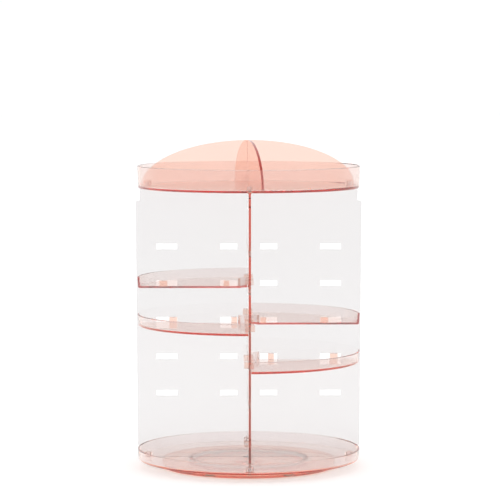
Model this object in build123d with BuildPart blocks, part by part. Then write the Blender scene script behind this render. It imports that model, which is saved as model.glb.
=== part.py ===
from build123d import *
import os

# A round organizer that turns on a small ball-bearing base.  Units are millimetres.
# The origin is on the table, on the turning axis; +Z is up, +X right and +Y to the rear.

# ---- Driving dimensions -------------------------------------------------------------------

# turntable base
foot_count = 6
foot_diameter = 12.0
foot_thickness = 1.6
foot_pocket_depth = 0.4
foot_pocket_clearance = 0.2
foot_inset = 14.0  # from the base's edge to the centre of a foot
base_inset = 25.0  # from the dishes' rim to the base's edge
base_plate_thickness = 2.2
base_skirt_thickness = 2.2
base_turning_gap = 1.0  # between the skirt's top and the dish above it
base_edge_fillet = 0.8

# ball bearing
ball_diameter = 4.0
ball_count = 18
ball_running_gap = 0.1
track_inset = 30.0  # from the base's edge to the ball circle
track_width = 8.0
lower_track_height = 1.4
upper_track_height = 0.7
track_floor = 0.4  # material left under the lower groove
cage_width = 7.0
cage_thickness = 1.2

# pivot
pivot_boss_radius = 6.0
pivot_running_gap = 0.08
hub_wall = 8.0
hub_recess_radius = 12.0
hub_recess_depth = 2.0
hub_thickness = 2.2
washer_radius = 10.0
washer_thickness = 1.1
washer_running_gap = 0.1
screw_shank_radius = 1.5
screw_hole_clearance = 0.03
screw_head_radius = 3.6
screw_head_height = 1.1
screw_head_round = 0.44
screw_length = 6.4
screw_tip_gap = 0.3
screw_drive_length = 4.4
screw_drive_width = 0.9
screw_drive_depth = 0.6

# dishes
dish_rim_radius = 115.0
dish_draft = 0.9  # the rim leans out by this
dish_wall = 2.0
dish_floor = 2.0
dish_rim_round = 0.7
bottom_tray_height = 12.0
bottom_tray_corner = 3.0
top_tray_height = 23.0
top_tray_corner = 1.6
dish_inner_corner = 1.0

# boards
board_thickness = 2.2
board_height = 279.4
board_foot_gap = 0.6  # from the bottom dish's rim to the board's foot
board_foot_overlap = 2.0  # the foot is narrow to this height above the rim
board_low_inset = 0.1  # from the dishes' rim to a board's edge just above the bottom dish
board_high_overhang = 1.4  # how far the edge stands out past the rim just below the head
board_head_inset = 2.8  # from the rim to the head's edge
board_head_height = 13.4
board_step_fillet = 1.6
board_lap_gap = 0.1  # each side of the other board in the halving slot
level_mark_height = 1.0
level_mark_depth = 0.6
level_mark_rise = 3.2  # above a tray's underside

# pins of the boards, and their sockets in the dishes
pin_radius = 1.9
pin_gap = 0.12
pin_inset = 11.0  # from the dish's rim to the pin
foot_pin_length = 4.0
head_pin_length = 6.4
pin_root = 1.0  # how far a pin reaches into its board
pin_end_round = 0.5
socket_radius = 4.0
foot_socket_height = 5.0
head_socket_height = 6.0
socket_notch_gap = 0.3
socket_edge_round = 0.6

# quarter trays
level_count = 5
lowest_level_rise = 63.5  # from the bottom dish's underside to the lowest tray underside
level_pitch = 38.0
tray_rim_height = 12.0
tray_wall = 1.9
tray_floor = 2.0
tray_corner = 1.8
tray_side_gap = 0.3
tray_inner_radius = 9.0
tray_lip_height = 8.0

# lugs on the trays' straight sides, and the boards' windows for them
lug_height = 6.0
lug_reach = 4.2  # past the board
lug_root = 3.0
outer_lug_length = 8.0
outer_lug_inset = 41.0  # from the rim to the near end of a right side's outer lug
inner_lug_length = 6.0
inner_lug_start = 12.0
lug_spacing = 2.0  # between the lugs of two trays that share a window
window_gap = 0.3
window_slack = 3.5  # room to slide a lug in

# fins in the top dish
fin_thickness = 2.4
fin_height = 47.1
fin_rim_gap = 1.2
fin_angle = 6.6  # the fins are turned from the boards by this
fin_tenon_length = 8.0
fin_tenon_inset = 34.0
fin_tenon_gap = 0.2
fin_lap_gap = 0.1

# ---- Heights and radii that follow ----------------------------------------------------------

ball_radius = ball_diameter / 2
groove_radius = ball_radius + ball_running_gap
plate_bottom = foot_thickness - foot_pocket_depth
plate_top = plate_bottom + base_plate_thickness
ball_centre = plate_top + track_floor + groove_radius
dish_bottom = ball_centre + groove_radius
dish_top = dish_bottom + dish_floor
dish_foot_radius = dish_rim_radius - dish_draft
base_radius = dish_rim_radius - base_inset
ball_circle = base_radius - track_inset
foot_circle = base_radius - foot_inset

hub_bottom = plate_bottom + hub_recess_depth
hub_top = hub_bottom + hub_thickness
washer_top = hub_bottom - washer_running_gap
hub_bore = pivot_boss_radius + pivot_running_gap
washer_bottom = washer_top - washer_thickness

board_top = dish_top + board_height
top_floor_top = board_top + dish_floor
pin_circle = dish_rim_radius - pin_inset
board_foot_radius = dish_foot_radius - dish_wall - board_foot_gap
board_low_radius = dish_rim_radius - board_low_inset
board_high_radius = dish_rim_radius + board_high_overhang
board_head_radius = dish_rim_radius - board_head_inset
board_foot_top = dish_bottom + bottom_tray_height + board_foot_overlap
board_head_bottom = board_top - board_head_height
board_middle = (dish_top + board_top) / 2
half_board = board_thickness / 2

tray_edge = half_board + tray_side_gap
level_heights = [dish_bottom + lowest_level_rise + i * level_pitch for i in range(level_count)]
right_outer_lug = dish_rim_radius - outer_lug_inset
left_outer_lug = right_outer_lug + outer_lug_length + lug_spacing
right_inner_lug = inner_lug_start
left_inner_lug = right_inner_lug + inner_lug_length + lug_spacing
outer_window = (right_outer_lug - window_gap, left_outer_lug + outer_lug_length + window_slack)
inner_window = (right_inner_lug - window_gap, left_inner_lug + inner_lug_length + window_slack)

fin_reach = dish_foot_radius - dish_wall - fin_rim_gap
fin_tenon_centre = dish_foot_radius - fin_tenon_inset

far = 4 * dish_rim_radius  # larger than the organizer, for cutting shapes


# ---- Shared profiles --------------------------------------------------------------------------


def round_corner(sketch, point, radius):
    """Rounds the sketch's corner at a point."""
    fillet(sketch.vertices().sort_by_distance((*point, 0))[0], radius)


def dish_profile(bottom, height, wall, floor, corner):
    """Half of a dish's section, from the axis out, with its lower corner and rim rounded."""
    foot_inside = (dish_foot_radius - wall, bottom + floor)
    rim_outside = (dish_rim_radius, bottom + height)
    rim_inside = (dish_rim_radius - wall, bottom + height)
    with BuildSketch(Plane.XZ) as profile:
        with BuildLine():
            Polyline(
                (0, bottom),
                (dish_foot_radius, bottom),
                rim_outside,
                rim_inside,
                foot_inside,
                (0, bottom + floor),
                close=True,
            )
        make_face()
        round_corner(profile, (dish_foot_radius, bottom), corner)
        round_corner(profile, foot_inside, dish_inner_corner)
        round_corner(profile, rim_outside, dish_rim_round)
        round_corner(profile, rim_inside, dish_rim_round)
    return profile.sketch


with BuildSketch(Plane.XZ) as groove_sketch:
    with Locations((ball_circle, ball_centre)):
        Circle(groove_radius)
ball_groove = groove_sketch.sketch  # swept round the axis, it makes both ball tracks


def socket_mouths(dish, floor_height):
    """The top edges of the four sockets that stand on a dish's floor."""
    circles = dish.edges().filter_by(GeomType.CIRCLE)
    above_floor = circles.filter_by(lambda edge: edge.center().Z > floor_height + socket_edge_round)
    return above_floor.filter_by(lambda edge: abs(edge.radius - socket_radius) < pin_gap)


def board_radius_at(height):
    """Half of a board's width at a height, where its long edges lean by the moulding draft."""
    share = (height - board_foot_top) / (board_head_bottom - board_foot_top)
    return board_low_radius + share * (board_high_radius - board_low_radius)


# ---- Turntable base ---------------------------------------------------------------------------

skirt_top = dish_bottom - base_turning_gap
skirt_inside = base_radius - base_skirt_thickness
track_inside = ball_circle - track_width / 2
track_outside = ball_circle + track_width / 2
lower_track_top = plate_top + lower_track_height
hub_outside = hub_bore + hub_wall

with BuildPart() as base_plate:
    with BuildSketch(Plane.XZ):
        with BuildLine():
            Polyline(
                (hub_bore, hub_bottom),
                (hub_recess_radius, hub_bottom),
                (hub_recess_radius, plate_bottom),
                (base_radius, plate_bottom),
                (base_radius, skirt_top),
                (skirt_inside, skirt_top),
                (skirt_inside, plate_top),
                (track_outside, plate_top),
                (track_outside, lower_track_top),
                (track_inside, lower_track_top),
                (track_inside, plate_top),
                (hub_outside, plate_top),
                (hub_outside, hub_top),
                (hub_bore, hub_top),
                close=True,
            )
        make_face()
    revolve(axis=Axis.Z)
    revolve(ball_groove, axis=Axis.Z, mode=Mode.SUBTRACT)
    with BuildSketch(Plane.XY.offset(plate_bottom)):
        with PolarLocations(foot_circle, foot_count):
            Circle(foot_diameter / 2 + foot_pocket_clearance)
    extrude(amount=foot_pocket_depth, mode=Mode.SUBTRACT)
    skirt_edges = base_plate.edges().filter_by(GeomType.CIRCLE).group_by(SortBy.RADIUS)[-1]
    fillet(skirt_edges, base_edge_fillet)
base_plate.part.label = "base_plate"

foot_pads = []
for foot_number in range(foot_count):
    foot_turn = foot_number * 360 / foot_count
    foot_plane = Plane.XY.rotated((0, 0, foot_turn))
    with BuildPart() as foot_pad:
        with BuildSketch(foot_plane):
            with Locations((foot_circle, 0)):
                Circle(foot_diameter / 2)
        extrude(amount=foot_thickness)
        chamfer(foot_pad.faces().sort_by(Axis.Z)[0].edges(), foot_pocket_depth)
    foot_pad.part.label = f"foot_pad_{foot_number + 1}"
    foot_pads.append(foot_pad.part)

# ---- Ball bearing -----------------------------------------------------------------------------

with BuildPart() as ball_cage:
    with BuildSketch(Plane.XY.offset(ball_centre - cage_thickness / 2)):
        Circle(ball_circle + cage_width / 2)
        Circle(ball_circle - cage_width / 2, mode=Mode.SUBTRACT)
        with PolarLocations(ball_circle, ball_count):
            Circle(groove_radius, mode=Mode.SUBTRACT)
    extrude(amount=cage_thickness)
ball_cage.part.label = "ball_cage"

with BuildPart(Plane.XY.offset(ball_centre)) as bearing_balls:
    with PolarLocations(ball_circle, ball_count):
        Sphere(ball_radius)
bearing_balls.part.label = "bearing_balls"

# ---- Pivot ------------------------------------------------------------------------------------

screw_hole = screw_shank_radius + screw_hole_clearance

with BuildPart() as pivot_washer:
    with BuildSketch(Plane.XY.offset(washer_bottom)):
        Circle(washer_radius)
        Circle(screw_hole, mode=Mode.SUBTRACT)
    extrude(amount=washer_thickness)
pivot_washer.part.label = "pivot_washer"

screw_head_bottom = washer_bottom - screw_head_height

with BuildPart() as pivot_screw:
    with BuildSketch(Plane.XY.offset(screw_head_bottom)):
        Circle(screw_head_radius)
    extrude(amount=screw_head_height)
    fillet(pivot_screw.edges().group_by(Axis.Z)[0], screw_head_round)
    with BuildSketch(Plane.XY.offset(washer_bottom)):
        Circle(screw_shank_radius)
    extrude(amount=screw_length)
    with BuildSketch(Plane.XY.offset(screw_head_bottom)):
        Rectangle(screw_drive_length, screw_drive_width)
        Rectangle(screw_drive_width, screw_drive_length)
    extrude(amount=screw_drive_depth, mode=Mode.SUBTRACT)
pivot_screw.part.label = "pivot_screw"

# ---- Bottom dish ------------------------------------------------------------------------------

foot_pin_bottom = dish_top + foot_socket_height - foot_pin_length
screw_hole_top = washer_bottom + screw_length + screw_tip_gap
bottom_profile = dish_profile(
    dish_bottom, bottom_tray_height, dish_wall, dish_floor, bottom_tray_corner
)

with BuildPart() as bottom_tray:
    revolve(bottom_profile, axis=Axis.Z)
    with BuildSketch(Plane.XY.offset(dish_bottom - upper_track_height)):
        Circle(track_outside)
        Circle(track_inside, mode=Mode.SUBTRACT)
    extrude(amount=upper_track_height)
    revolve(ball_groove, axis=Axis.Z, mode=Mode.SUBTRACT)
    with BuildSketch(Plane.XY.offset(washer_top)):
        Circle(pivot_boss_radius)
    extrude(amount=dish_bottom - washer_top)
    with BuildSketch(Plane.XY.offset(washer_top)):
        Circle(screw_hole)
    extrude(amount=screw_hole_top - washer_top, mode=Mode.SUBTRACT)
    with BuildSketch(Plane.XY.offset(dish_top)):
        with PolarLocations(pin_circle, 4):
            Circle(socket_radius)
    extrude(amount=foot_socket_height)
    with BuildSketch(Plane.XY.offset(foot_pin_bottom - pin_gap)):
        with PolarLocations(pin_circle, 4):
            Circle(pin_radius + pin_gap)
    extrude(amount=foot_pin_length + pin_gap, mode=Mode.SUBTRACT)
    fillet(socket_mouths(bottom_tray, dish_top), socket_edge_round)
bottom_tray.part.label = "bottom_tray"

# ---- Boards -----------------------------------------------------------------------------------


def cut_windows():
    """Cuts a board's windows for the lugs, on both sides of the axis at every level."""
    window_height = lug_height + window_gap
    for level in level_heights:
        for start, end in (inner_window, outer_window):
            middle = (start + end) / 2
            height = level + tray_floor + window_height / 2
            with Locations((middle, height), (-middle, height)):
                Rectangle(end - start, window_height, mode=Mode.SUBTRACT)


def cut_level_marks():
    """Cuts the small notches in a board's long edges that mark the levels."""
    for level in level_heights:
        height = level + level_mark_rise + level_mark_height / 2
        edge = board_radius_at(height)
        with Locations((edge, height), (-edge, height)):
            Rectangle(2 * level_mark_depth, level_mark_height, mode=Mode.SUBTRACT)


def make_board(plane, lap_bottom, lap_top):
    """Makes a board in a plane through the axis, with its halving slot between two heights."""
    right_edge = [
        (board_foot_radius, dish_top),
        (board_foot_radius, board_foot_top),
        (board_low_radius, board_foot_top),
        (board_high_radius, board_head_bottom),
        (board_head_radius, board_head_bottom),
        (board_head_radius, board_top),
    ]
    left_edge = [(-x, z) for x, z in reversed(right_edge)]
    notch_radius = socket_radius + socket_notch_gap
    notch_top = dish_top + foot_socket_height + socket_notch_gap
    with BuildPart() as board:
        with BuildSketch(plane) as outline:
            with BuildLine():
                Polyline(*right_edge, *left_edge, close=True)
            make_face()
            for side in (1, -1):
                round_corner(outline, (side * board_head_radius, board_head_bottom), board_step_fillet)
                round_corner(outline, (side * board_foot_radius, board_foot_top), board_step_fillet)
                round_corner(outline, (side * board_high_radius, board_head_bottom), board_step_fillet)
                round_corner(outline, (side * board_low_radius, board_foot_top), board_step_fillet)
                round_corner(outline, (side * board_foot_radius, dish_top), dish_inner_corner)
            with Locations((0, (lap_bottom + lap_top) / 2)):
                slot_width = board_thickness + 2 * board_lap_gap
                Rectangle(slot_width, lap_top - lap_bottom, mode=Mode.SUBTRACT)
            for side in (1, -1):
                with Locations((side * pin_circle, (dish_top + notch_top) / 2)):
                    Rectangle(2 * notch_radius, notch_top - dish_top, mode=Mode.SUBTRACT)
            cut_windows()
            cut_level_marks()
        extrude(amount=half_board, both=True)
        pin_places = [plane.from_local_coords((side * pin_circle, 0, 0)) for side in (1, -1)]
        with BuildSketch(Plane.XY.offset(foot_pin_bottom)):
            with Locations(*pin_places):
                Circle(pin_radius)
        extrude(amount=notch_top + pin_root - foot_pin_bottom)
        with BuildSketch(Plane.XY.offset(board_top - pin_root)):
            with Locations(*pin_places):
                Circle(pin_radius)
        extrude(amount=pin_root + head_pin_length)
        fillet(board.faces().sort_by(Axis.Z)[-2:].edges(), pin_end_round)
    return board.part


board_front_rear = make_board(Plane.YZ, dish_top, board_middle + board_lap_gap)
board_front_rear.label = "board_front_rear"
board_left_right = make_board(Plane.XZ, board_middle - board_lap_gap, board_top)
board_left_right.label = "board_left_right"

# ---- Quarter trays ----------------------------------------------------------------------------


def lug_box(start, length, on_right):
    """Draws a lug's plan, across the board on a tray's right or left side."""
    low, high = -(half_board + lug_reach), tray_edge + lug_root
    along, across = start + length / 2, (low + high) / 2
    if on_right:
        with Locations((along, across)):
            Rectangle(length, high - low)
    else:
        with Locations((across, along)):
            Rectangle(high - low, length)


def make_quarter_tray(level, turn):
    """Makes a quarter tray at a level, in the quadrant that starts a turn from +X."""
    profile = dish_profile(level, tray_rim_height, tray_wall, tray_floor, tray_corner)
    base = Plane.XY.rotated((0, 0, turn))
    with BuildPart() as tray:
        revolve(profile, axis=Axis.Z)
        with BuildSketch(base.offset(level)):
            with Locations((tray_edge + far / 2, tray_edge + far / 2)):
                Rectangle(far, far)
            Circle(tray_inner_radius, mode=Mode.SUBTRACT)
        extrude(amount=tray_rim_height, mode=Mode.INTERSECT)
        with BuildSketch(base.offset(level + tray_floor)):
            Circle(tray_inner_radius + tray_wall)
            Circle(tray_inner_radius, mode=Mode.SUBTRACT)
            with Locations((tray_edge + far / 2, tray_edge + far / 2)):
                Rectangle(far, far, mode=Mode.INTERSECT)
        extrude(amount=tray_lip_height)
        with BuildSketch(base.offset(level + tray_floor)):
            lug_box(right_outer_lug, outer_lug_length, True)
            lug_box(right_inner_lug, inner_lug_length, True)
            lug_box(left_outer_lug, outer_lug_length, False)
            lug_box(left_inner_lug, inner_lug_length, False)
        extrude(amount=lug_height)
    return tray.part


quarter_trays = []
for tray_name, level_number, tray_turn in (
    ("tray_rear_right", 2, 0),
    ("tray_rear_left", 3, 90),
    ("tray_front_left", 2, 180),
    ("tray_front_right", 1, 270),
):
    quarter_tray = make_quarter_tray(level_heights[level_number], tray_turn)
    quarter_tray.label = tray_name
    quarter_trays.append(quarter_tray)

# ---- Top dish and its fins --------------------------------------------------------------------

fin_plane = Plane.XY.rotated((0, 0, fin_angle))
top_profile = dish_profile(board_top, top_tray_height, dish_wall, dish_floor, top_tray_corner)

with BuildPart() as top_tray:
    revolve(top_profile, axis=Axis.Z)
    with BuildSketch(Plane.XY.offset(top_floor_top)):
        with PolarLocations(pin_circle, 4):
            Circle(socket_radius)
    extrude(amount=head_socket_height)
    with BuildSketch(Plane.XY.offset(board_top)):
        with PolarLocations(pin_circle, 4):
            Circle(pin_radius + pin_gap)
    extrude(amount=head_pin_length + pin_gap, mode=Mode.SUBTRACT)
    with BuildSketch(fin_plane.offset(board_top)):
        with PolarLocations(fin_tenon_centre, 4):
            Rectangle(fin_tenon_length + 2 * fin_tenon_gap, fin_thickness + 2 * fin_tenon_gap)
    extrude(amount=dish_floor, mode=Mode.SUBTRACT)
    fillet(socket_mouths(top_tray, top_floor_top), socket_edge_round)
top_tray.part.label = "top_tray"


def make_fin(across, lap_from_top):
    """Makes a domed fin in an upright plane, with tenons below and half of the crossing cut out."""
    slot_width = fin_thickness + 2 * fin_lap_gap
    lap_length = fin_height / 2 + fin_lap_gap
    lap_middle = fin_height - lap_length / 2 if lap_from_top else lap_length / 2
    with BuildPart() as fin:
        with BuildSketch(across):
            Ellipse(fin_reach, fin_height)
            with Locations((0, -fin_height)):
                Rectangle(2 * far, 2 * fin_height, mode=Mode.SUBTRACT)
            with Locations((0, lap_middle)):
                Rectangle(slot_width, lap_length, mode=Mode.SUBTRACT)
            with Locations((fin_tenon_centre, 0), (-fin_tenon_centre, 0)):
                Rectangle(fin_tenon_length, 2 * (dish_floor - fin_tenon_gap))
        extrude(amount=fin_thickness / 2, both=True)
    return fin.part


fin_base = fin_plane.offset(top_floor_top)
fin_front_rear = make_fin(Plane(fin_base.origin, x_dir=fin_base.y_dir, z_dir=fin_base.x_dir), True)
fin_front_rear.label = "fin_front_rear"
fin_left_right = make_fin(Plane(fin_base.origin, x_dir=fin_base.x_dir, z_dir=-fin_base.y_dir), False)
fin_left_right.label = "fin_left_right"

# ---- Files ------------------------------------------------------------------------------------

finished_parts = [
    base_plate.part,
    *foot_pads,
    ball_cage.part,
    bearing_balls.part,
    pivot_washer.part,
    pivot_screw.part,
    bottom_tray.part,
    board_front_rear,
    board_left_right,
    *quarter_trays,
    top_tray.part,
    fin_front_rear,
    fin_left_right,
]
os.makedirs("parts", exist_ok=True)
for finished_part in finished_parts:
    export_step(finished_part, f"parts/{finished_part.label}.step")
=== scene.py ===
"""A clear coral organizer that turns on a ball-bearing base, dressed round its CAD frame.

The parts of the frame keep their shapes and get their finishes here.  Round balls stand for the
frame's faceted ones.  The rings that ejector pins leave under the trays and the top dish are
added, and so are the rings that the foot pads grip with.
Lengths are metres, +Z is up and the front looks along -Y.
"""

import logging
import math
from dataclasses import dataclass, field
from enum import Enum

import bpy
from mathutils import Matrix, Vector

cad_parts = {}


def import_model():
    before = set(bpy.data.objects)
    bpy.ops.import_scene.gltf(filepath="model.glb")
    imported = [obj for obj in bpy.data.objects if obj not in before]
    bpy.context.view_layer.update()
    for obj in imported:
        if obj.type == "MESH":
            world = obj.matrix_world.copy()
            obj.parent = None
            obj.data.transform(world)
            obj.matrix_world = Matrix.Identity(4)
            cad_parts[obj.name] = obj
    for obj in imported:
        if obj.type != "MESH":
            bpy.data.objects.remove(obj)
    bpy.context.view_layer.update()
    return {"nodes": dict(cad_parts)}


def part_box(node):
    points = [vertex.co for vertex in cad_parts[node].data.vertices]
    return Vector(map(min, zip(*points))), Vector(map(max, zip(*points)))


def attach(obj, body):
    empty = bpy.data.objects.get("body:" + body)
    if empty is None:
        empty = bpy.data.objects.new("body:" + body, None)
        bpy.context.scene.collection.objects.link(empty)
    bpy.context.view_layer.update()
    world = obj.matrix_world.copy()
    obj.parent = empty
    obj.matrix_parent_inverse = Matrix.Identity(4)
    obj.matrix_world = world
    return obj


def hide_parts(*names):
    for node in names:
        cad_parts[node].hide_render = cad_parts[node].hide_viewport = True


log = logging.getLogger("organizer")

MM = 0.001

Triple = tuple[float, float, float]


# ---- Shader nodes -----------------------------------------------------------------------------

# Turn about +Z of each set of hairlines, and the stretch that draws a noise out into its lines.
HAIRLINES = (
    (0.5, (1.0, 0.05, 1.0)),
    (-0.9, (0.04, 1.0, 1.0)),
    (0.2, (1.0, 1.0, 0.06)),
)
HAIRLINE_PEAK = (0.62, 0.74)  # heights of the noise between which a line comes in
HAIRLINE_DETAIL = 2.0
GRAIN_SWING = (0.3, 0.7)  # heights of the noise between which most of a grain lies

# The colour sockets of a mix node, by number, because its other sockets share their names.
MIX_FIRST = 6
MIX_SECOND = 7
MIX_RESULT = 2


@dataclass
class ShaderTree:
    """The shader nodes of a material or a world, with short calls to add and wire them.

    Args:
        owner: The material or world, whose own nodes are cleared.
    """

    owner: bpy.types.Material | bpy.types.World

    def __post_init__(self) -> None:
        """Empties the owner's tree."""
        self.owner.use_nodes = True
        self.owner.node_tree.nodes.clear()

    def add(self, kind: str, **settings: object) -> bpy.types.Node:
        """Adds a node and sets its properties.

        Args:
            kind: The node's type, such as "ShaderNodeMath".
            settings: Properties of the node by name.

        Returns:
            The new node.
        """
        node = self.owner.node_tree.nodes.new(kind)
        for key, value in settings.items():
            setattr(node, key, value)
        return node

    def wire(self, start: bpy.types.NodeSocket, end: bpy.types.NodeSocket) -> None:
        """Joins an output socket to an input socket."""
        self.owner.node_tree.links.new(start, end)

    def math(self, operation: str, first: object, second: object = 0.0) -> bpy.types.NodeSocket:
        """Adds a math node.

        Args:
            operation: Blender's name of the operation.
            first: A socket or a number.
            second: A socket or a number.

        Returns:
            The result's socket.
        """
        node = self.add("ShaderNodeMath", operation=operation)
        for socket, value in zip(node.inputs, (first, second)):
            if isinstance(value, bpy.types.NodeSocket):
                self.wire(value, socket)
            else:
                socket.default_value = value
        return node.outputs[0]

    def mix(self, share: bpy.types.NodeSocket, first: object, second: object) -> bpy.types.NodeSocket:
        """Adds a mix of two colours.

        Args:
            share: How much of the second colour shows.
            first: A socket or a colour.
            second: A socket or a colour.

        Returns:
            The mixed colour's socket.
        """
        node = self.add("ShaderNodeMix", data_type="RGBA")
        self.wire(share, node.inputs[0])
        for place, colour in ((MIX_FIRST, first), (MIX_SECOND, second)):
            if isinstance(colour, bpy.types.NodeSocket):
                self.wire(colour, node.inputs[place])
            else:
                node.inputs[place].default_value = (*colour, 1.0)
        return node.outputs[MIX_RESULT]

    def noise(self, place: bpy.types.NodeSocket, scale: float, detail: float = 4.0) -> bpy.types.NodeSocket:
        """Adds a noise texture read at a place, and returns its value's socket."""
        node = self.add("ShaderNodeTexNoise")
        self.wire(place, node.inputs["Vector"])
        node.inputs["Scale"].default_value = scale
        node.inputs["Detail"].default_value = detail
        return node.outputs["Fac"]

    def ramp(
        self, value: bpy.types.NodeSocket, low: float, high: float, start: float, end: float
    ) -> bpy.types.NodeSocket:
        """Maps a value from low..high to start..end, clamped.

        Returns:
            The mapped value's socket.
        """
        node = self.add("ShaderNodeMapRange")
        self.wire(value, node.inputs["Value"])
        for key, number in (("From Min", low), ("From Max", high), ("To Min", start), ("To Max", end)):
            node.inputs[key].default_value = number
        return node.outputs["Result"]

    def place(self, stretch: Triple = (1.0, 1.0, 1.0), turn: float = 0.0) -> bpy.types.NodeSocket:
        """Object coordinates, stretched and turned about +Z, so a pattern stays on its piece."""
        coordinates = self.add("ShaderNodeTexCoord")
        mapping = self.add("ShaderNodeMapping")
        mapping.inputs["Scale"].default_value = stretch
        mapping.inputs["Rotation"].default_value = (0.0, 0.0, turn)
        self.wire(coordinates.outputs["Object"], mapping.inputs["Vector"])
        return mapping.outputs["Vector"]

    def scuffs(self, density: float) -> bpy.types.NodeSocket:
        """Fine crossed hairlines as polishing and wiping leave them.

        Args:
            density: How many hairlines cross a metre, roughly.

        Returns:
            A socket that is 0 on clean plastic and up to 1 on a hairline.
        """
        masks = []
        for turn, stretch in HAIRLINES:
            lines = self.noise(self.place(stretch, turn), density, HAIRLINE_DETAIL)
            masks.append(self.ramp(lines, *HAIRLINE_PEAK, 0.0, 1.0))
        crossed = masks[0]
        for mask in masks[1:]:
            crossed = self.math("MAXIMUM", crossed, mask)
        return crossed


# ---- Finishes ---------------------------------------------------------------------------------


class Polish(Enum):
    """How the surface of a clear moulding was left, as (roughness, hairline roughness)."""

    MIRROR = (0.012, 0.05)
    SATIN = (0.05, 0.12)


@dataclass(frozen=True)
class PaintedEdgeGlow:
    """Painted glow: colour that stands in for light piped along clear plastic to its edges, which are told
    from its faces by their lean.

    Args:
        colour: Colour of the painted glow on the edge.
        leans: Upward parts of the surface's normal between which the painted glow comes in and goes out.
    """

    colour: Triple
    leans: tuple[float, float, float, float]

    def mask(self, tree: ShaderTree) -> bpy.types.NodeSocket:
        """Finds the edge.

        Args:
            tree: The material's tree.

        Returns:
            A socket that is 1 on the edge and 0 on the faces.
        """
        surface = tree.add("ShaderNodeNewGeometry")
        split = tree.add("ShaderNodeSeparateXYZ")
        tree.wire(surface.outputs["Normal"], split.inputs[0])
        start, full, still_full, end = self.leans
        coming = tree.ramp(split.outputs["Z"], start, full, 0.0, 1.0)
        going = tree.ramp(split.outputs["Z"], still_full, end, 1.0, 0.0)
        return tree.math("MULTIPLY", coming, going)


@dataclass(frozen=True)
class ClearPlastic:
    """Clear acrylic, tinted a pale coral that deepens with the length of plastic looked through.

    Args:
        name: The material's name.
        skin: Tint of each surface that light crosses.
        tint: Colour that long paths tend to.
        depth: Absorption in the plastic, per metre.
        clarity: Share of the light that isn't scattered by the surface.
        polish: How smooth the mould was.
        edge: Painted glow of its edges, a colour that stands in for light piped through the plastic, where
            that isn't the skin's.
        refraction: Index of refraction.
        hairlines: How many hairlines cross a metre, roughly.
        shade: Tint that each surface gives to the light of a lamp.
    """

    name: str
    skin: Triple
    tint: Triple
    depth: float
    clarity: float = 0.95
    polish: Polish = Polish.MIRROR
    edge: PaintedEdgeGlow | None = None
    refraction: float = 1.49
    hairlines: float = 700.0
    shade: Triple = (1.0, 0.98, 0.975)

    def make(self) -> bpy.types.Material:
        """Builds the material.

        Returns:
            A refracting surface with volume absorption, through which lamps light what is behind.
        """
        material = bpy.data.materials.new(self.name)
        tree = ShaderTree(material)
        glass = tree.add("ShaderNodeBsdfPrincipled")
        glass.inputs["Base Color"].default_value = (*self.skin, 1.0)
        # Painted glow: the skin turns deeper coral at the edges, standing in for light piped along the
        # plastic.
        if self.edge is not None:
            tinted = tree.mix(self.edge.mask(tree), self.skin, self.edge.colour)
            tree.wire(tinted, glass.inputs["Base Color"])
        glass.inputs["Transmission Weight"].default_value = self.clarity
        glass.inputs["IOR"].default_value = self.refraction
        worn = tree.ramp(tree.scuffs(self.hairlines), 0.0, 1.0, *self.polish.value)
        tree.wire(worn, glass.inputs["Roughness"])
        through = tree.add("ShaderNodeBsdfTransparent")
        through.inputs["Color"].default_value = (*self.shade, 1.0)
        path = tree.add("ShaderNodeLightPath")
        either = tree.add("ShaderNodeMixShader")
        tree.wire(path.outputs["Is Shadow Ray"], either.inputs[0])
        tree.wire(glass.outputs[0], either.inputs[1])
        tree.wire(through.outputs[0], either.inputs[2])
        absorb = tree.add("ShaderNodeVolumeAbsorption")
        absorb.inputs["Color"].default_value = (*self.tint, 1.0)
        absorb.inputs["Density"].default_value = self.depth
        output = tree.add("ShaderNodeOutputMaterial")
        tree.wire(either.outputs[0], output.inputs["Surface"])
        tree.wire(absorb.outputs[0], output.inputs["Volume"])
        return material


@dataclass(frozen=True)
class SolidFinish:
    """An opaque moulded, rubber or metal surface with grain, mottling and worn hairlines.

    Args:
        name: The material's name.
        colour: Its colour.
        metallic: 1 for metal.
        roughness: Mean roughness.
        grain: How many grains cross a metre, roughly.
        relief: Height of the grain, in metres.
        hairlines: How many hairlines cross a metre, roughly.
        mottling: How much darker the colour gets in patches.
        patch: Size of a patch, in grains.
        unevenness: How far the grain moves the roughness up and down.
        wear: Roughness that a hairline adds.
        strength: Share of the relief that shows.
    """

    name: str
    colour: Triple
    metallic: float
    roughness: float
    grain: float
    relief: float
    hairlines: float = 900.0
    mottling: float = 0.12
    patch: float = 8.0
    unevenness: float = 0.15
    wear: float = 0.15
    strength: float = 0.5

    def make(self) -> bpy.types.Material:
        """Builds the material and returns it."""
        material = bpy.data.materials.new(self.name)
        tree = ShaderTree(material)
        body = tree.add("ShaderNodeBsdfPrincipled")
        body.inputs["Metallic"].default_value = self.metallic
        patches = tree.noise(tree.place(), self.grain / self.patch)
        darker = tuple((1.0 - self.mottling) * value for value in self.colour)
        tree.wire(tree.mix(patches, darker, self.colour), body.inputs["Base Color"])
        grain = tree.noise(tree.place(), self.grain)
        smoothest = self.roughness * (1.0 - self.unevenness)
        roughest = self.roughness * (1.0 + self.unevenness)
        uneven = tree.ramp(grain, *GRAIN_SWING, smoothest, roughest)
        worn = tree.math("MULTIPLY", tree.scuffs(self.hairlines), self.wear)
        tree.wire(tree.math("ADD", uneven, worn), body.inputs["Roughness"])
        bump = tree.add("ShaderNodeBump")
        bump.inputs["Strength"].default_value = self.strength
        bump.inputs["Distance"].default_value = self.relief
        tree.wire(grain, bump.inputs["Height"])
        tree.wire(bump.outputs["Normal"], body.inputs["Normal"])
        output = tree.add("ShaderNodeOutputMaterial")
        tree.wire(body.outputs[0], output.inputs["Surface"])
        return material


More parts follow.
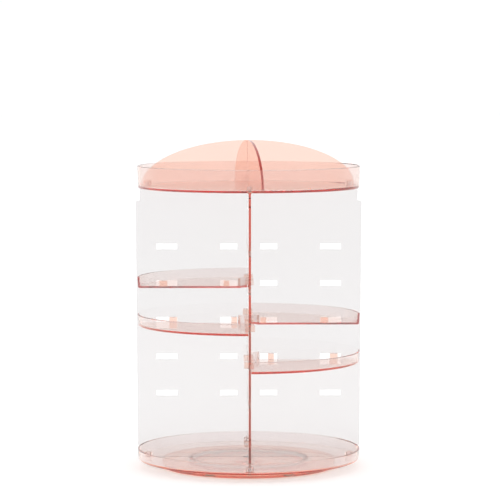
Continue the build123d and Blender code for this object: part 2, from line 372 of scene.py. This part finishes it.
@dataclass
class Finishes:
    """Every finish of the organizer, made once."""

    board: bpy.types.Material = field(init=False)
    dish: bpy.types.Material = field(init=False)
    low_dish: bpy.types.Material = field(init=False)
    fin: bpy.types.Material = field(init=False)
    base: bpy.types.Material = field(init=False)
    cage: bpy.types.Material = field(init=False)
    ball: bpy.types.Material = field(init=False)
    plated: bpy.types.Material = field(init=False)
    rubber: bpy.types.Material = field(init=False)

    def __post_init__(self) -> None:
        """Makes the materials."""
        coral = (0.975, 0.36, 0.0)
        amber = (0.92, 0.34, 0.0)
        smoke = (0.80, 0.807, 0.82)
        rosy = (0.93, 0.915, 0.935)
        pearl = (0.965, 0.955, 0.975)
        salmon = (0.97, 0.80, 0.745)
        peach = (0.97, 0.82, 0.73)
        # Painted glow: deep coral on the low dish's rounded underside and on the fins' upward edges,
        # standing in for light piped through the plastic.
        foot_painted_glow = PaintedEdgeGlow((0.92, 0.30, 0.18), (-0.99, -0.93, -0.35, -0.12))
        dome_painted_glow = PaintedEdgeGlow((1.0, 0.40, 0.27), (0.03, 0.12, 1.1, 1.2))
        self.board = ClearPlastic("clear_board", smoke, amber, 18.0).make()
        self.dish = ClearPlastic("clear_coral", rosy, coral, 52.0, 0.97).make()
        self.low_dish = ClearPlastic("clear_coral_low", pearl, coral, 36.0, 0.975, edge=foot_painted_glow).make()
        self.fin = ClearPlastic("clear_coral_fin", salmon, coral, 78.0, 0.955, edge=dome_painted_glow).make()
        self.base = ClearPlastic("clear_coral_base", peach, coral, 68.0, 0.85, Polish.SATIN).make()
        self.cage = SolidFinish("cage_nylon", (0.86, 0.85, 0.82), 0.0, 0.42, 900.0, 0.03 * MM).make()
        self.ball = SolidFinish("ball_steel", (0.82, 0.83, 0.85), 1.0, 0.10, 1600.0, 0.002 * MM).make()
        self.plated = SolidFinish("zinc_plate", (0.74, 0.74, 0.72), 1.0, 0.30, 2200.0, 0.01 * MM).make()
        self.rubber = SolidFinish("foot_rubber", (0.62, 0.61, 0.60), 0.0, 0.62, 2600.0, 0.05 * MM).make()


# ---- Piece helpers ----------------------------------------------------------------------------


@dataclass
class Frame:
    """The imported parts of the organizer, by name."""

    nodes: dict[str, bpy.types.Object]

    def dress(self, node: str, finish: bpy.types.Material) -> None:
        """Gives a CAD node its finish and leaves its mesh alone."""
        shown = self.nodes[node]
        if not shown.data.materials:
            shown.data.materials.append(finish)
        for place in shown.material_slots:
            place.material = finish
        log.info("dressed %s with %s", node, finish.name)


def evaluated_mesh(piece: bpy.types.Object) -> bpy.types.Mesh:
    """Turns a piece's modifiers into its own mesh.

    Args:
        piece: The object, whose modifiers are then removed.

    Returns:
        The object's new mesh.
    """
    graph = bpy.context.evaluated_depsgraph_get()
    mesh = bpy.data.meshes.new_from_object(piece.evaluated_get(graph), depsgraph=graph)
    piece.modifiers.clear()
    piece.data = mesh
    return mesh


# ---- Geometry Nodes ---------------------------------------------------------------------------

SMOOTH_ANGLE = math.radians(40.0)  # edges sharper than this stay sharp
RING_SIDES = 28
WIRE_SIDES = 8
BALL_SUBDIVISIONS = 4


@dataclass
class ShapeTree:
    """A Geometry Nodes tree whose named inputs hold its sizes.

    Args:
        name: The tree's name.
        sizes: Its inputs by name, with their values.
    """

    name: str
    sizes: dict[str, float]
    tree: bpy.types.NodeTree = field(init=False)
    given: bpy.types.Node = field(init=False)

    def __post_init__(self) -> None:
        """Makes the tree with its inputs and its output."""
        self.tree = bpy.data.node_groups.new(self.name, "GeometryNodeTree")
        self.tree.interface.new_socket("Geometry", in_out="OUTPUT", socket_type="NodeSocketGeometry")
        for key, value in self.sizes.items():
            kind = "NodeSocketInt" if isinstance(value, int) else "NodeSocketFloat"
            self.tree.interface.new_socket(key, in_out="INPUT", socket_type=kind)
        self.given = self.tree.nodes.new("NodeGroupInput")

    def add(self, kind: str, **inputs: object) -> bpy.types.Node:
        """Adds a node and sets or wires its inputs.

        Args:
            kind: The node's type.
            inputs: Values or sockets by input name, with _ for a space.

        Returns:
            The new node.
        """
        node = self.tree.nodes.new(kind)
        for key, value in inputs.items():
            self.feed(node.inputs[key.replace("_", " ")], value)
        return node

    def feed(self, socket: bpy.types.NodeSocket, value: object) -> None:
        """Wires a socket or sets a value on an input."""
        if isinstance(value, bpy.types.NodeSocket):
            self.tree.links.new(value, socket)
        else:
            socket.default_value = value

    def size(self, name: str) -> bpy.types.NodeSocket:
        """The socket of a named size."""
        return self.given.outputs[name]

    def grow(self, last: bpy.types.NodeSocket, finish: bpy.types.Material, name: str) -> bpy.types.Object:
        """Ends the tree, runs it on a new object and keeps the result as a plain mesh.

        Args:
            last: The socket that holds the shape.
            finish: The material to set.
            name: The new piece's name.

        Returns:
            The piece.
        """
        real = self.add("GeometryNodeRealizeInstances", Geometry=last)
        painted = self.add("GeometryNodeSetMaterial", Geometry=real.outputs[0], Material=finish)
        end = self.tree.nodes.new("NodeGroupOutput")
        self.tree.links.new(painted.outputs[0], end.inputs[0])
        piece = bpy.data.objects.new(name, bpy.data.meshes.new(name))
        bpy.context.scene.collection.objects.link(piece)
        modifier = piece.modifiers.new(self.name, "NODES")
        modifier.node_group = self.tree
        for item in self.tree.interface.items_tree:
            if item.in_out == "INPUT":
                modifier[item.identifier] = self.sizes[item.name]
        mesh = evaluated_mesh(piece)
        mesh.shade_smooth()
        mesh.set_sharp_from_angle(angle=SMOOTH_ANGLE)
        return piece


def rings_on_arc(name: str, finish: bpy.types.Material, sizes: dict[str, float]) -> bpy.types.Object:
    """Small raised rings along an arc, such as the marks of ejector pins.

    Args:
        name: The piece's name.
        finish: Its material.
        sizes: Count, Radius and Start and Sweep (angles) of the arc, Ring and Wire (radii) and Height.

    Returns:
        The piece, one mesh with all the rings.
    """
    tree = ShapeTree(name, sizes)
    lift = tree.add("ShaderNodeCombineXYZ", Z=tree.size("Height"))
    arc = tree.add(
        "GeometryNodeCurveArc",
        Resolution=tree.size("Count"),
        Radius=tree.size("Radius"),
        Start_Angle=tree.size("Start"),
        Sweep_Angle=tree.size("Sweep"),
    )
    placed = tree.add("GeometryNodeTransform", Geometry=arc.outputs[0], Translation=lift.outputs[0])
    ring = tree.add("GeometryNodeCurvePrimitiveCircle", Resolution=RING_SIDES, Radius=tree.size("Ring"))
    wire = tree.add("GeometryNodeCurvePrimitiveCircle", Resolution=WIRE_SIDES, Radius=tree.size("Wire"))
    tube = tree.add("GeometryNodeCurveToMesh", Curve=ring.outputs[0])
    tree.feed(tube.inputs["Profile Curve"], wire.outputs[0])
    marks = tree.add("GeometryNodeInstanceOnPoints", Points=placed.outputs[0], Instance=tube.outputs[0])
    return tree.grow(marks.outputs[0], finish, name)


def balls_on_circle(name: str, finish: bpy.types.Material, sizes: dict[str, float]) -> bpy.types.Object:
    """Bearing balls round their circle.

    Args:
        name: The piece's name.
        finish: Its material.
        sizes: Count, Circle, Ball (a radius) and Height.

    Returns:
        The piece, one mesh with all the balls.
    """
    tree = ShapeTree(name, sizes)
    lift = tree.add("ShaderNodeCombineXYZ", Z=tree.size("Height"))
    path = tree.add("GeometryNodeMeshCircle", Vertices=tree.size("Count"), Radius=tree.size("Circle"))
    placed = tree.add("GeometryNodeTransform", Geometry=path.outputs[0], Translation=lift.outputs[0])
    ball = tree.add("GeometryNodeMeshIcoSphere", Radius=tree.size("Ball"), Subdivisions=BALL_SUBDIVISIONS)
    balls = tree.add("GeometryNodeInstanceOnPoints", Points=placed.outputs[0], Instance=ball.outputs[0])
    return tree.grow(balls.outputs[0], finish, name)


# ---- Sub-assemblies ---------------------------------------------------------------------------


@dataclass
class Turntable:
    """The base plate on its pads, the ball bearing and the pivot's screw and washer."""

    frame: Frame
    finishes: Finishes
    foot_count: int = 6
    ball_count: int = 18
    grip_radius: float = 4.2 * MM
    grip_wire: float = 0.15 * MM
    ball_relief: float = 0.1 * MM  # off the balls' radius, as the faceted tracks lie inside the true ones

    def build(self) -> None:
        """Builds the turntable's pieces and dresses its nodes."""
        self.frame.dress("base_plate", self.finishes.base)
        for number in range(1, self.foot_count + 1):
            self.frame.dress(f"foot_pad_{number}", self.finishes.rubber)
        self.frame.dress("ball_cage", self.finishes.cage)
        for node in ("pivot_washer", "pivot_screw"):
            self.frame.dress(node, self.finishes.plated)
        self.build_balls()
        self.build_grips()

    def build_grips(self) -> None:
        """Builds the fine ring that each pad grips the table with."""
        low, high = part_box("foot_pad_1")
        sizes = {
            "Count": self.foot_count,
            "Radius": (low[0] + high[0]) / 2,
            "Start": 0.0,
            "Sweep": math.tau * (1.0 - 1.0 / self.foot_count),
            "Ring": self.grip_radius,
            "Wire": self.grip_wire,
            "Height": low[2] + self.grip_wire,
        }
        piece = rings_on_arc("foot_grips", self.finishes.rubber, sizes)
        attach(piece, "base")
        log.info("%s: %d rings", piece.name, self.foot_count)

    def build_balls(self) -> None:
        """Builds round balls in place of the frame's faceted ones."""
        low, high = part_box("bearing_balls")
        ball = (high[2] - low[2]) / 2
        sizes = {
            "Count": self.ball_count,
            "Circle": (high[0] - low[0]) / 2 - ball,
            "Ball": ball - self.ball_relief,
            "Height": (high[2] + low[2]) / 2,
        }
        piece = balls_on_circle("bearing_balls_shown", self.finishes.ball, sizes)
        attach(piece, "bearing")
        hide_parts("bearing_balls")
        log.info("%s: %d balls", piece.name, self.ball_count)


@dataclass
class Mouldings:
    """The clear mouldings that turn together: dishes, boards, quarter trays and fins."""

    frame: Frame
    finishes: Finishes
    boards: tuple[str, ...] = ("board_front_rear", "board_left_right")
    fins: tuple[str, ...] = ("fin_front_rear", "fin_left_right")
    quarters: tuple[str, ...] = ("tray_front_left", "tray_front_right", "tray_rear_left", "tray_rear_right")
    dish_mark_count: int = 8
    quarter_mark_count: int = 3
    mark_circle: float = 88.0 * MM
    mark_radius: float = 3.0 * MM
    mark_wire: float = 0.15 * MM

    def build(self) -> None:
        """Dresses every clear moulding and adds the marks of the ejector pins under the top dish and the
        quarter trays.
        """
        for node in self.boards:
            self.frame.dress(node, self.finishes.board)
        for node in self.fins:
            self.frame.dress(node, self.finishes.fin)
        self.frame.dress("bottom_tray", self.finishes.low_dish)
        for node in ("top_tray", *self.quarters):
            self.frame.dress(node, self.finishes.dish)
        self.mark("top_tray", self.dish_mark_count, 0.0, math.tau)
        for node in self.quarters:
            low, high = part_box(node)
            middle = math.atan2(low[1] + high[1], low[0] + high[0])
            self.mark(node, self.quarter_mark_count, middle - math.pi / 4, math.pi / 2)

    def mark(self, node: str, count: int, start: float, span: float) -> None:
        """Builds the faint rings that ejector pins leave under a moulding.

        Args:
            node: The moulding.
            count: How many pins pushed on it.
            start: Angle where its span starts.
            span: Angle of the moulding, shared out evenly between the pins.
        """
        low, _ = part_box(node)
        sizes = {
            "Count": count,
            "Radius": self.mark_circle,
            "Start": start + span / (2 * count),
            "Sweep": span * (1.0 - 1.0 / count),
            "Ring": self.mark_radius,
            "Wire": self.mark_wire,
            "Height": low[2] + self.mark_wire,
        }
        piece = rings_on_arc(f"{node}_pin_marks", self.finishes.dish, sizes)
        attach(piece, "carousel")
        log.info("%s: %d rings", piece.name, count)


# ---- Studio -----------------------------------------------------------------------------------


@dataclass(frozen=True)
class Softbox:
    """A square lamp that looks at the organizer.

    Args:
        name: The lamp's name.
        place: Where its middle is.
        width: Length of its side.
        power: In watts.
    """

    name: str
    place: Triple
    width: float
    power: float

    def hang(self, target: Triple) -> None:
        """Puts the lamp in the scene, turned to a target."""
        lamp = bpy.data.lights.new(self.name, "AREA")
        lamp.shape = "SQUARE"
        lamp.size = self.width
        lamp.energy = self.power
        stand = bpy.data.objects.new(self.name, lamp)
        bpy.context.scene.collection.objects.link(stand)
        stand.location = self.place
        look_at(stand, target)


def look_at(thing: bpy.types.Object, target: Triple) -> None:
    """Turns a lamp or a camera to a target."""
    towards = Vector(target) - thing.location
    thing.rotation_euler = towards.to_track_quat("-Z", "Y").to_euler()


@dataclass
class Studio:
    """The pale floor, the soft light and the camera at the photograph's viewing angle."""

    distance: float = 2.7181  # from the turning axis, level
    height: float = 0.4266  # of the lens above the floor
    azimuth: float = math.radians(-0.6)
    aim: Triple = (0.00139, 0.0, 0.2249)
    lens: float = 190.06
    sensor: float = 36.0
    bounces: int = 64  # light crosses many walls, and runs far inside each
    clear_bounces: int = 32
    floor_size: float = 30.0
    floor_colour: Triple = (0.82, 0.82, 0.82)
    floor_roughness: float = 0.9
    floor_gloss: float = 0.1
    floor_glow: float = 0.28  # of its own, which keeps the shadow faint
    backdrop: float = 1.02
    room: float = 0.15  # brightness of the room that polished faces mirror, against the white backdrop
    room_depth: tuple[float, float] = (-0.4, 0.7)  # where, along Y, the room gives way to the backdrop
    middle: Triple = (0.0, 0.0, 0.17)  # what the lamps look at
    lamps: tuple[Softbox, ...] = (
        Softbox("top_light", (0.0, -0.2, 2.2), 2.0, 2.5),
        Softbox("left_light", (-1.8, -1.4, 1.3), 1.2, 2.0),
        Softbox("right_light", (1.9, -1.2, 1.0), 1.2, 1.5),
    )

    def build(self) -> None:
        """Builds the studio."""
        self.lay_floor()
        self.surround()
        for lamp in self.lamps:
            lamp.hang(self.middle)
        self.place_camera()

    def lay_floor(self) -> None:
        """A wide white floor that the soft light leaves nearly shadowless."""
        bpy.ops.mesh.primitive_plane_add(size=self.floor_size)
        floor = bpy.context.object
        floor.name = "studio_floor"
        material = bpy.data.materials.new("studio_white")
        tree = ShaderTree(material)
        white = tree.add("ShaderNodeBsdfPrincipled")
        white.inputs["Base Color"].default_value = (*self.floor_colour, 1.0)
        white.inputs["Roughness"].default_value = self.floor_roughness
        white.inputs["Specular IOR Level"].default_value = self.floor_gloss
        white.inputs["Emission Color"].default_value = (1.0, 1.0, 1.0, 1.0)
        white.inputs["Emission Strength"].default_value = self.floor_glow
        output = tree.add("ShaderNodeOutputMaterial")
        tree.wire(white.outputs[0], output.inputs["Surface"])
        floor.data.materials.append(material)

    def surround(self) -> None:
        """A white backdrop all round, which polished faces mirror as a dim room with a bright rear."""
        world = bpy.data.worlds.new("studio")
        bpy.context.scene.world = world
        tree = ShaderTree(world)
        towards = tree.add("ShaderNodeTexCoord")
        split = tree.add("ShaderNodeSeparateXYZ")
        tree.wire(towards.outputs["Generated"], split.inputs[0])
        room = tree.ramp(split.outputs["Y"], *self.room_depth, self.room, 1.0)
        ray = tree.add("ShaderNodeLightPath").outputs
        mirrored = tree.math("GREATER_THAN", ray["Is Reflection Ray"], ray["Is Diffuse Ray"])
        light = tree.add("ShaderNodeBackground")
        tree.wire(tree.mix(mirrored, (1.0, 1.0, 1.0), room), light.inputs["Color"])
        light.inputs["Strength"].default_value = self.backdrop
        output = tree.add("ShaderNodeOutputWorld")
        tree.wire(light.outputs[0], output.inputs["Surface"])

    def place_camera(self) -> None:
        """Sets the camera where the photograph was taken from."""
        scene = bpy.context.scene
        lens = bpy.data.cameras.new("camera")
        lens.lens = self.lens
        lens.sensor_width = self.sensor
        camera = bpy.data.objects.new("camera", lens)
        scene.collection.objects.link(camera)
        camera.location = (
            self.distance * math.sin(self.azimuth),
            -self.distance * math.cos(self.azimuth),
            self.height,
        )
        look_at(camera, self.aim)
        scene.camera = camera
        scene.view_settings.view_transform = "Standard"
        scene.cycles.max_bounces = self.bounces
        scene.cycles.transmission_bounces = self.bounces
        scene.cycles.glossy_bounces = self.bounces
        scene.cycles.transparent_max_bounces = self.clear_bounces


# ---- Main -------------------------------------------------------------------------------------


def main() -> None:
    """Loads the frame, builds every sub-assembly and the studio."""
    logging.basicConfig(level=logging.INFO, format="%(name)s: %(message)s")
    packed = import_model()
    frame = Frame(packed["nodes"])
    finishes = Finishes()
    Turntable(frame, finishes).build()
    Mouldings(frame, finishes).build()
    Studio().build()


if __name__ == "__main__":
    main()
